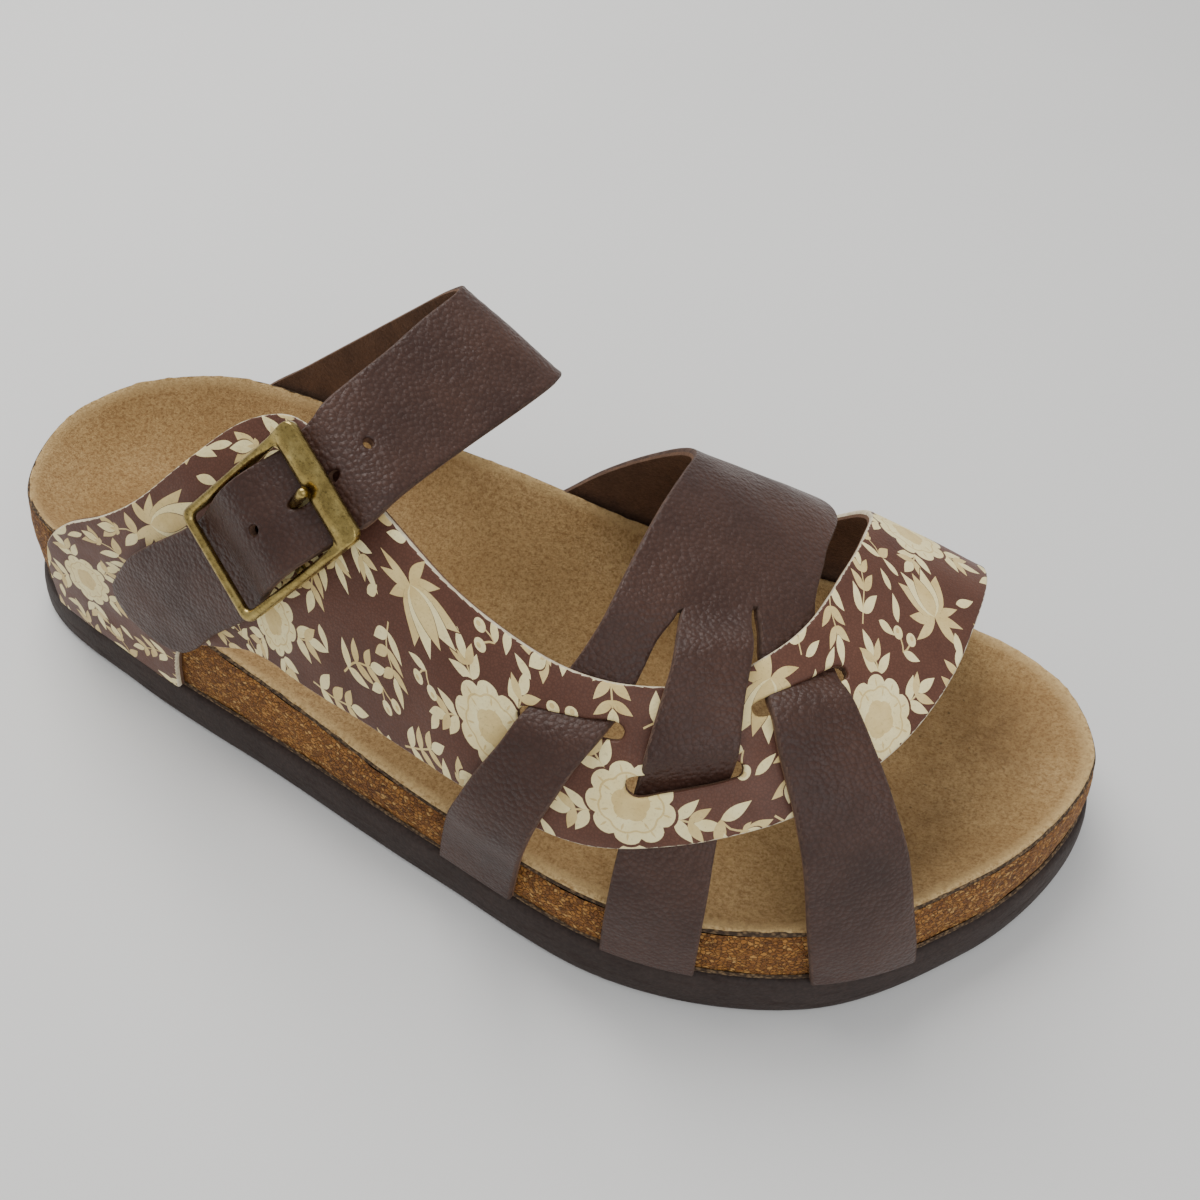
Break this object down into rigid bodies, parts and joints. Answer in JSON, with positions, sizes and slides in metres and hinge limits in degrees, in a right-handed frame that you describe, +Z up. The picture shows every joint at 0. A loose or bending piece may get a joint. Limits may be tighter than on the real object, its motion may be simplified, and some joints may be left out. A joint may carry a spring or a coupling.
{
  "type": "strappy sandal",
  "caption": "Right-foot cork-footbed slide sandal with a woven finger strap, a printed side panel and one buckled instep strap.",
  "frame": {"origin": "middle of the bounding box on the ground", "axes": "+X towards the toe, +Y towards the inner side of the foot, +Z up"},
  "size_m": [0.2532, 0.1076, 0.0887],
  "materials": {
    "outsole_foam": "matt foam rubber",
    "jute": "woven",
    "cork": "sealed granular cork",
    "suede": "brushed suede",
    "lining": "brushed fleece",
    "panel_leather": "printed, satin",
    "strap_leather": "grained, satin",
    "buckle_brass": "antique, satin"
  },
  "bodies": {
    "sandal": {"outsole": "outsole_foam", "lower_jute_layer": "jute", "cork_footbed": "cork", "upper_jute_layer": "jute", "suede_liner": "suede", "panel_lining": "lining", "printed_panel": "panel_leather", "finger_strap_root_lining": "lining", "finger_strap_root": "strap_leather", "finger_strap_rear_finger_lining": "lining", "finger_strap_rear_finger": "strap_leather", "finger_strap_middle_finger_lining": "lining", "finger_strap_middle_finger": "strap_leather", "finger_strap_front_finger_lining": "lining", "finger_strap_front_finger": "strap_leather", "instep_strap_lining": "lining", "instep_strap": "strap_leather", "buckle_loop": "strap_leather", "loop_rivet_front": "buckle_brass", "loop_rivet_rear": "buckle_brass"},
    "buckle": {"buckle_frame": "buckle_brass", "buckle_pivot_bar": "buckle_brass"},
    "prong": {"buckle_prong": "buckle_brass"}
  },
  "joints": [
    {"name": "buckle_rock", "type": "hinge", "parent": "sandal", "child": "buckle", "pos_m": [-0.03225, -0.02886, 0.07021], "axis": [-0.7554, 0.4087, 0.5121], "range_deg": [-0.8, 1.2]},
    {"name": "prong_lift", "type": "hinge", "parent": "buckle", "child": "prong", "pos_m": [-0.03225, -0.02886, 0.07021], "axis": [-0.7554, 0.4087, 0.5121], "range_deg": [-4, 0]}
  ]
}
